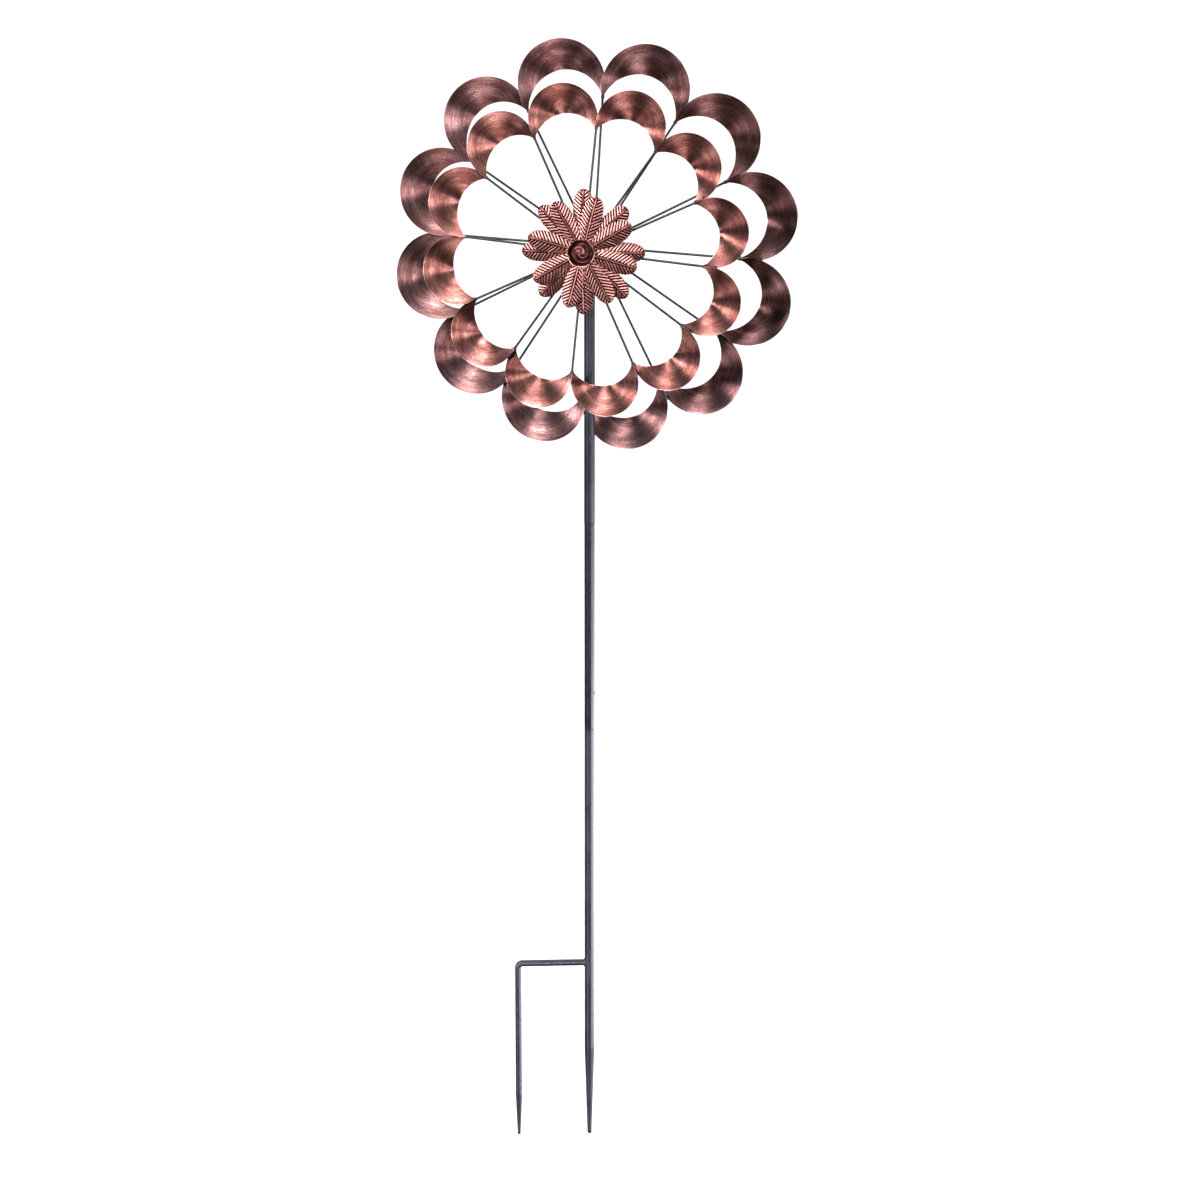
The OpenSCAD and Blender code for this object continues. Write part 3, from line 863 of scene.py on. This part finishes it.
@dataclass
class LeafPlate:
    """A stamped plate of feather leaves: arched halves, a raised midrib and herringbone veins."""

    name: str
    node: str
    tip: float
    turn: float
    lift: float
    leaves: int = 8
    width: float = 31 * MM
    sheet: float = 0.8 * MM
    root: float = 14 * MM
    disc: float = 20 * MM
    hole: float = 9.3 * MM
    drop: float = 6 * MM
    drop_at: float = 91 * MM
    widest: float = 0.6
    root_share: float = 0.42
    # The real veins are about 4 mm apart; they are drawn a little coarser, so that they show.
    vein_pitch: float = 5.2 * MM
    vein_slant: float = 0.8
    vein_depth: float = 0.9 * MM
    arch: float = 0.22
    rib_height: float = 1.0 * MM
    rib_half: float = 1.0 * MM
    rib_fade: float = 12 * MM
    gutter_depth: float = 0.4 * MM
    crown: float = 1.5 * MM
    edge_fall: float = 0.5 * MM
    tooth: float = 0.05

    def half_width(self, share: np.ndarray) -> np.ndarray:
        """Gives a leaf's half width.

        Args:
            share: shares of its length, 0 at the root and 1 at the tip.

        Returns:
            Its half width at each.
        """
        opening = np.sin(math.pi / 2 * np.minimum(share / self.widest, 1))
        grown = self.root_share + (1 - self.root_share) * opening
        past = np.maximum(share - self.widest, 0) / (1 - self.widest)
        return self.width / 2 * grown * np.maximum(1 - past ** 2.4, 0) ** (1 / 2.1)

    def dome(self, reach: np.ndarray) -> np.ndarray:
        """Gives the plate's upper surface without its relief.

        Args:
            reach: distances from the axle.

        Returns:
            The surface's height at each.
        """
        raised = self.lift * np.maximum(reach - self.root, 0)
        return self.sheet - self.drop * (reach / self.drop_at) ** 2 + raised

    def leaf(self, rows: int = 144, columns: int = 27) -> Mesh:
        """Builds one leaf, along +Y. Its rows follow the veins, from the midrib out towards the tip.

        Args:
            rows: sections along the leaf.
            columns: points across one face of it.

        Returns:
            A closed shell with its relief attribute.
        """
        start = np.linspace(self.root, self.tip, rows)[:, None]
        phase = np.cos(2 * math.pi * start / self.vein_pitch)
        vein = 1 / (1 + np.exp(-6 * (phase + 0.15)))
        reach = np.zeros_like(start)
        beyond = np.full_like(start, self.width / 2)
        for _ in range(30):  # halves the gap to where a vein's line crosses the outline
            middle = (reach + beyond) / 2
            share = (start + self.vein_slant * middle - self.root) / (self.tip - self.root)
            inside = middle < self.half_width(np.minimum(share, 1))
            reach, beyond = np.where(inside, middle, reach), np.where(inside, beyond, middle)
        half = reach * (1 - self.tooth * (1 - vein))
        across = half * np.sin(np.linspace(-1, 1, columns) * math.pi / 2)[None, :]
        off = np.abs(across)
        along = start + self.vein_slant * off
        ribs_off = off / self.rib_half  # from the midrib, in its own half widths
        veined = np.clip((ribs_off - 1.6) / 1.2, 0, 1)
        rib = np.exp(-ribs_off ** 4) * np.clip((self.tip - along) / self.rib_fade, 0, 1)
        gutter = np.exp(-((ribs_off - 1.9) / 0.5) ** 2)
        level = vein * veined + (1 - veined) * 0.35 - 0.35 * gutter + 0.75 * rib
        rise = self.vein_depth * (vein - 1) * veined + self.rib_height * rib - self.gutter_depth * gutter
        rise = rise - self.arch * (np.hypot(off, self.crown) - self.crown)
        rise = rise - self.edge_fall * (off / np.maximum(half, MM)) ** 6
        top = self.dome(np.hypot(across, along)) + rise
        face = np.stack(np.broadcast_arrays(across, along, top), -1)
        under = face[:, ::-1] - np.array((0, 0, self.sheet))
        level = np.clip(level, 0, 1)
        return loft("leaf", np.concatenate((face, under), 1), marks={
            "relief": np.concatenate((level, level[:, ::-1]), 1)})

    def middle(self) -> Mesh:
        """Builds the plate's flat middle, with the hole for the hub's nose.

        Returns:
            A closed shell with its relief attribute.
        """
        edges = np.array((self.hole, self.disc, self.disc, self.hole))
        height = self.dome(np.minimum(edges, self.root)) - np.array((0, 0, 1, 1)) * self.sheet
        rings = polar(edges, full_turn(96)[:, None], height)
        relief = np.full(rings.shape[:2], 0.6)
        return loft("leaf_plate_middle", rings, closed=True, marks={"relief": relief})

    def build(self, copies: NodeTree, shop: Paintshop) -> None:
        """Builds the plate.

        Args:
            copies: the tree that sets copies round the axle.
            shop: gives the finishes.
        """
        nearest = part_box(self.node)[0].y
        axle_low, axle_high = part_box("axle")
        finish = shop.materials["leaf_copper"]
        values = {"Reach": -nearest - self.sheet, "Axle Height": (axle_low.z + axle_high.z) / 2,
                  "Material": finish}
        ring = grow(self.name, copies, values | {"Count": self.leaves, "First Turn": self.turn}, self.leaf())
        centre = grow("middle", copies, values | {"Count": 1, "First Turn": 0.0}, self.middle())
        whole = joined(self.name, (ring.data, centre.data))
        bpy.data.objects.remove(centre)
        bpy.data.objects.remove(ring)
        plate = piece_of(self.name, whole, finish)
        shop.hand_over(plate, "front_wheel", "leaf_copper", self.node)


@dataclass
class Petal:
    """One petal of the blossom: a shell of sheet round the axle, rising from a floor to a rolled lip."""

    foot: float
    bend: float
    mouth: float
    height: float
    half_angle: float
    lap: float
    roll: float
    thickness: float = 0.8 * MM
    floor_share: float = 0.25
    crest_fall: float = 0.22
    crease: float = 0.5 * MM
    floor_tilt: float = 0.2 * MM

    def mesh(self, rows: int = 26, columns: int = 19) -> Mesh:
        """Builds the petal, centred on +Y with its foot at z = 0.

        Args:
            rows: sections from foot to lip.
            columns: points across it.

        Returns:
            A closed shell with its relief attribute.
        """
        up = np.linspace(0, 1, rows)[:, None]
        side = np.linspace(-1, 1, columns)[None, :]
        floor = np.clip(up / self.floor_share, 0, 1)
        wall = np.clip((up - self.floor_share) / (1 - self.floor_share), 0, 1)
        climb = wall * (1 - self.crest_fall * np.abs(side) ** 3)
        angle = math.pi / 2 * climb
        reach = self.foot + (self.bend - self.foot) * floor + (self.mouth - self.bend) * np.sin(angle)
        crease = self.crease * np.exp(-(side / 0.12) ** 2)
        reach = reach + (self.lap * side - crease) * wall + self.roll * climb ** 6
        height = self.height * (0.8 * (1 - np.cos(angle)) + 0.2 * climb) + self.floor_tilt * side
        spread = math.pi / 2 + self.half_angle * (1 - 0.25 * wall ** 5) * side
        level = 0.25 + 0.55 * climb ** 5 + 0.12 * np.cos(9 * side * math.pi) * wall
        outer, inner = (polar(reach - shift * wall, spread, height + shift * (1 - wall))
                        for shift in (0, self.thickness))
        rings = np.concatenate((outer, inner[:, ::-1]), 1)
        level = np.clip(np.concatenate((level, level[:, ::-1]), 1), 0, 1)
        return loft("petal", rings, marks={"relief": level})


@dataclass
class Rosette:
    """The front wheel's rosette: two leaf plates, an open blossom cup, and a bud that closes over the nut."""

    petals: int = 6
    petals_turn: float = 0.2
    bud_folds: int = 3
    bud_winding: float = 2.2
    bud_r: float = 10.2 * MM
    fold_depth: float = 1.9 * MM
    fold_rise: float = 0.9 * MM
    # The bud's hollow, from its middle to its foot, as shares of its radius and of its height.
    hollow: tuple[tuple[float, float], ...] = ((0.0, 0.86), (0.6, 0.78), (0.93, 0.5), (0.93, 0.0))

    def bud(self, height: float) -> Mesh:
        """Builds the bud of furled petals: a domed shell whose folds wind up to its middle.

        Args:
            height: from its open foot to its top.

        Returns:
            A closed shell with its relief attribute, its foot at z = 0.
        """
        rise = np.linspace(0, 1, 40)[:, None]
        turn = full_turn(120)
        winding = (self.bud_folds * turn / (2 * math.pi) + self.bud_winding * rise) % 1.0
        fold = winding ** 1.5 * np.clip((1 - winding) / 0.12, 0, 1)
        wall = 0.3  # the share of the rows that stands upright; the rest is the dome
        bend = np.clip((rise - wall) / (1 - wall), 0, 1) * math.pi / 2
        swell = fold * np.clip(rise / 0.15, 0, 1) * np.cos(bend) ** 0.3
        radius = self.bud_r * (0.98 * np.cos(bend) + 0.02 * (1 - rise))
        radius = radius + self.fold_depth * (swell - 0.2) * (rise < 1)
        lift = height * (0.55 * np.clip(rise / wall, 0, 1) + 0.38 * np.sin(bend))
        outside = polar(radius, turn, lift + self.fold_rise * fold * np.sin(bend))
        shares = np.array(self.hollow)
        inside = polar(self.bud_r * shares[:, :1], turn, height * shares[:, 1:])
        rings = np.concatenate((inside, outside))
        relief = np.concatenate((np.zeros(inside.shape[:2]), 0.15 + 0.75 * fold ** 2))
        return loft("bud", rings, marks={"relief": relief})

    def build(self, copies: NodeTree, shop: Paintshop) -> None:
        """Builds the rosette.

        Args:
            copies: the tree that sets copies round the axle.
            shop: gives the finishes.
        """
        plates = (LeafPlate("back_leaves", "back_leaf_plate", 91 * MM, 0.0, 0.0),
                  LeafPlate("front_leaves", "front_leaf_plate", 83 * MM, math.radians(30), 0.10))
        for plate in plates:
            plate.build(copies, shop)
        low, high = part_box("axle")
        cup_low, cup_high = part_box("blossom_cup")
        bud_low, bud_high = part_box("blossom_bud")
        values = {"Axle Height": (low.z + high.z) / 2, "Material": shop.materials["blossom_copper"],
                  "Count": self.petals, "First Turn": self.petals_turn}
        petal = Petal(foot=9.4 * MM, bend=14.6 * MM, mouth=19.4 * MM, height=cup_high.y - cup_low.y,
                      half_angle=math.radians(37), lap=0.6 * MM, roll=0.9 * MM)
        cup = grow("blossom_petals", copies, values | {"Reach": -cup_high.y}, petal.mesh())
        shop.hand_over(cup, "front_wheel", "blossom_copper", "blossom_cup")
        values |= {"Reach": -bud_high.y, "Count": 1}
        bud = grow("blossom_heart", copies, values, self.bud(bud_high.y - bud_low.y))
        shop.hand_over(bud, "front_wheel", "blossom_copper", "blossom_bud")


@dataclass
class Stand:
    """The pole and its ground fork: the CAD tubes, with the fork's weld and cross-headed screws."""

    pole_r: float = 7.7 * MM
    upper_r: float = 8.0 * MM
    bar_r: float = 5.0 * MM
    fork_turn: float = math.radians(14)
    bead_r: float = 1.3 * MM
    ripples: int = 22
    head_r: float = 2.8 * MM
    head_h: float = 1.9 * MM
    shank_r: float = 2.0 * MM
    grip: float = 2.6 * MM
    head_wall: float = 0.5 * MM
    slot_half: float = 0.45 * MM
    slot_reach: float = 1.75 * MM
    slot_depth: float = 0.9 * MM

    def weld(self) -> Mesh:
        """Builds the rippled bead that runs round the crossbar where it meets the pole.

        Returns:
            A closed mesh.
        """
        turn = full_turn(6 * self.ripples)[:, None]
        round_bead = full_turn(12)
        ripple = 0.12
        radius = self.bead_r * (1 + ripple * np.cos(self.ripples * turn))
        out = self.bar_r + radius * np.cos(round_bead)
        side = out * np.cos(turn)
        rise = out * np.sin(turn) + self.bar_r
        along = -np.sqrt(self.pole_r ** 2 - (self.bar_r * np.cos(turn)) ** 2) + radius * np.sin(round_bead)
        cosine, sine = math.cos(self.fork_turn), math.sin(self.fork_turn)
        points = (along * cosine - side * sine, along * sine + side * cosine, rise)
        return loft("crossbar_weld", np.stack(np.broadcast_arrays(*points), -1), closed=True)

    def screw(self, height: float, turn: float, tube_r: float) -> Mesh:
        """Builds a round-headed screw with a cross recess.

        Args:
            height: its height above the ground line.
            turn: the direction it points in, about the pole.
            tube_r: outside radius of the tube that its head rests on.

        Returns:
            A closed mesh.
        """
        shares = np.linspace(1, 0, 15)[:, None]
        angle = full_turn(48)
        radius = self.head_r * shares
        slot = radius * np.minimum(np.abs(np.cos(angle)), np.abs(np.sin(angle))) < self.slot_half
        recess = np.where(slot & (radius < self.slot_reach), self.slot_depth, 0.0)
        rise = self.head_wall + (self.head_h - self.head_wall) * np.sqrt(1 - shares ** 2)
        shank_r = np.array((0.0, self.shank_r, self.shank_r, self.head_r))[:, None]
        shank_z = np.array((-self.grip, -self.grip, 0.0, 0.0))[:, None]
        rings = np.concatenate((polar(shank_r, angle, shank_z), polar(radius, angle, rise - recess)))
        out = rings[..., 2] + tube_r
        side = rings[..., 0]
        cosine, sine = math.cos(turn), math.sin(turn)
        points = (out * cosine - side * sine, out * sine + side * cosine, rings[..., 1] + height)
        return loft("screw", np.stack(points, -1))

    def build(self, shop: Paintshop) -> None:
        """Builds the stand's own pieces.

        Args:
            shop: gives the finishes.
        """
        weld = piece_of("crossbar_weld", self.weld(), shop.materials["stake_black"])
        shop.hand_over(weld, "stand", "stake_black")
        low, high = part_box("joint_screws")
        side_height, back_height = low.z + self.head_r, high.z - self.head_r
        both = joined("pan_head_screws", (self.screw(side_height, 0.0, self.pole_r),
                                          self.screw(back_height, math.pi / 2, self.upper_r)))
        screws = piece_of("pan_head_screws", both, shop.materials["zinc_plate"])
        shop.hand_over(screws, "stand", "zinc_plate", "joint_screws")


@dataclass
class Softbox:
    """A soft square light that faces a point on the sculpture."""

    name: str
    place: tuple[float, float, float]
    aim: tuple[float, float, float]
    size: tuple[float, float]
    power: float
    colour: str = "#FFFFFF"

    def build(self) -> None:
        """Adds the light."""
        lamp = bpy.data.lights.new(self.name, "AREA")
        lamp.shape = "RECTANGLE"
        lamp.size, lamp.size_y = self.size
        lamp.energy = self.power
        lamp.color = linear(self.colour)[:3]
        holder = bpy.data.objects.new(self.name, lamp)
        holder.location = self.place
        direction = Vector(self.aim) - Vector(self.place)
        holder.rotation_euler = direction.to_track_quat("-Z", "Y").to_euler()
        holder.visible_camera = False
        bpy.context.scene.collection.objects.link(holder)


@dataclass(frozen=True)
class Reflector:
    """A bright patch of the room round the sculpture, with soft edges.

    Its azimuth runs from -Y towards +X. The lowest and highest are elevations.
    """

    azimuth: float
    half_width: float
    lowest: float
    highest: float
    strength: float

    def nodes(self, tree: NodeTree, place: Any, rise: Any) -> tuple[Node, Node]:
        """Adds the patch's spread round the room and its extent in height.

        Args:
            tree: the world's tree.
            place: the direction looked in.
            rise: that direction's sine of elevation.

        Returns:
            Two nodes, each 0 outside the patch and 1 inside it.
        """
        flat = add_node(tree, VECTOR_MATH, {0: place, 1: (1.0, 1.0, 0.0)}, operation="MULTIPLY")
        flat = add_node(tree, VECTOR_MATH, {0: flat}, operation="NORMALIZE")
        towards = (math.sin(self.azimuth), -math.cos(self.azimuth), 0.0)
        facing = add_node(tree, VECTOR_MATH, {0: flat, 1: towards}, operation="DOT_PRODUCT")
        edge = math.cos(self.half_width)
        ends = {"From Min": edge - 0.25 * (1 - edge), "From Max": edge + 0.35 * (1 - edge)}
        spread = add_node(tree, MAP_RANGE, {"Value": facing.outputs["Value"]} | ends,
                          interpolation_type="SMOOTHSTEP")
        middle = (math.sin(self.lowest) + math.sin(self.highest)) / 2
        half = (math.sin(self.highest) - math.sin(self.lowest)) / 2
        off = add_node(tree, MATH, {0: rise, 1: middle}, operation="SUBTRACT")
        off = add_node(tree, MATH, {0: off}, operation="ABSOLUTE")
        ends = {"From Min": 0.7 * half, "From Max": 1.3 * half, "To Min": 1.0, "To Max": 0.0}
        level = add_node(tree, MAP_RANGE, {"Value": off} | ends)
        return spread, level


@dataclass
class Studio:
    """A pale floor, a softly lit room and the camera.

    Of the reflectors, the first two draw the light lines down the pole, and the others, in front and near the
    horizon, draw the bright fans on the copper.
    """

    distance: float = 4.0
    azimuth: float = math.radians(11.2)
    eye_height: float = 1.527
    down: float = math.radians(13.05)
    lens: float = 83.24
    floor_half: float = 300.0
    reflectors: tuple[Reflector, ...] = (
        Reflector(math.radians(95), math.radians(50), math.radians(-21), math.radians(-15), 24.0),
        Reflector(math.radians(-29), math.radians(7), math.radians(-26), math.radians(-20), 10.0),
        Reflector(math.radians(-46), math.radians(7), math.radians(-1), math.radians(8), 64.0),
        Reflector(math.radians(19), math.radians(5), math.radians(-2), math.radians(5), 55.0),
        Reflector(math.radians(-12), math.radians(6), math.radians(13), math.radians(20), 70.0),
    )

    def build_camera(self) -> None:
        """Adds the camera, level and aimed at the pole from a little to the right."""
        camera = bpy.data.cameras.new("camera")
        camera.lens = self.lens
        camera.clip_end = 2 * self.floor_half
        holder = bpy.data.objects.new("camera", camera)
        holder.location = (self.distance * math.sin(self.azimuth), -self.distance * math.cos(self.azimuth),
                           self.eye_height)
        holder.rotation_euler = (math.pi / 2 - self.down, 0.0, self.azimuth)
        bpy.context.scene.collection.objects.link(holder)
        bpy.context.scene.camera = holder

    def build_floor(self) -> None:
        """Adds the floor under the fork's points, as an even matt white."""
        level = CAD_BOX[0].z - MM
        half = self.floor_half
        corners = [(x * half, y * half, level) for x, y in ((-1, -1), (1, -1), (1, 1), (-1, 1))]
        mesh = bpy.data.meshes.new("floor")
        mesh.from_pydata(corners, [], [(0, 1, 2, 3)])
        material = bpy.data.materials.new("matt_white_floor")
        material.use_nodes = True
        shader = material.node_tree.nodes["Principled BSDF"]
        shader.inputs["Base Color"].default_value = linear("#F4F4F4")
        shader.inputs["Roughness"].default_value = 1.0
        shader.inputs["Specular IOR Level"].default_value = 0.0
        mesh.materials.append(material)
        floor = bpy.data.objects.new("floor", mesh)
        # Metal and paint reflect the room below the floor instead of it, as with black cards beside the set.
        floor.visible_glossy = False
        floor.visible_shadow = False
        bpy.context.scene.collection.objects.link(floor)

    def build_room(self) -> None:
        """Adds the room: bright overhead, and dark lower down, where the reflectors stand."""
        world = bpy.data.worlds.new("room")
        world.use_nodes = True
        bpy.context.scene.world = world
        tree = world.node_tree
        tree.nodes.clear()
        place = add_node(tree, "ShaderNodeTexCoord").outputs["Generated"]
        rise = add_node(tree, "ShaderNodeSeparateXYZ", {0: place}).outputs["Z"]
        share = add_node(tree, MAP_RANGE, {"Value": rise, "From Min": -0.45, "From Max": 0.35})
        stops = ((0.0, "#2A2425"), (0.42, "#2E2728"), (0.62, "#423B3C"), (0.8, "#6A6466"), (1.0, "#FFFFFF"))
        shade = add_node(tree, "ShaderNodeValToRGB", {0: share}, stops=stops)
        glow = add_node(tree, "ShaderNodeBackground", {"Color": shade, "Strength": 1.25})
        for reflector in self.reflectors:
            spread, level = reflector.nodes(tree, place, rise)
            patch = add_node(tree, MATH, {0: spread, 1: level}, operation="MULTIPLY")
            power = add_node(tree, MATH, {0: patch, 1: reflector.strength}, operation="MULTIPLY")
            light = add_node(tree, "ShaderNodeBackground", {"Color": linear("#F0F2FF"), "Strength": power})
            glow = add_node(tree, "ShaderNodeAddShader", {0: glow, 1: light})
        # What is seen straight past the sculpture is as pale as the floor, from any side.
        seen = add_node(tree, "ShaderNodeLightPath").outputs["Is Camera Ray"]
        pale = add_node(tree, "ShaderNodeBackground", {"Color": linear("#FFFFFF")})
        glow = add_node(tree, "ShaderNodeMixShader", {0: seen, 1: glow, 2: pale})
        add_node(tree, "ShaderNodeOutputWorld", {"Surface": glow})

    def build(self) -> None:
        """Adds everything round the sculpture."""
        self.build_camera()
        self.build_floor()
        self.build_room()
        hub = (0.0, 0.0, 1.1)
        for light in (
            Softbox("front_softbox", (-1.3, -2.2, 3.3), hub, (1.6, 1.2), 60),
            Softbox("rear_softbox", (0.5, 3.2, 2.2), hub, (2.4, 1.5), 40),
        ):
            light.build()
        bpy.context.scene.view_settings.view_transform = "Standard"


def main() -> None:
    """Builds the sculpture's looks, sub-assembly by sub-assembly."""
    logging.basicConfig(level=logging.INFO, format="%(name)s: %(message)s")
    studio = Studio()
    studio.build()
    shop = Paintshop()
    shop.dress_frame()
    crescent, copies = crescent_tree(), round_tree()
    wheels = (
        Wheel(Side.FRONT, 192.5 * MM, 50.8 * MM, 199 * MM, math.radians(9.2), "front_copper"),
        Wheel(Side.REAR, 241.5 * MM, 65 * MM, 260 * MM, math.radians(11.5), "rear_copper"),
    )
    for wheel in wheels:
        wheel.build(crescent, copies, shop)
    Rosette().build(copies, shop)
    Stand().build(shop)


if __name__ == "__main__":
    main()
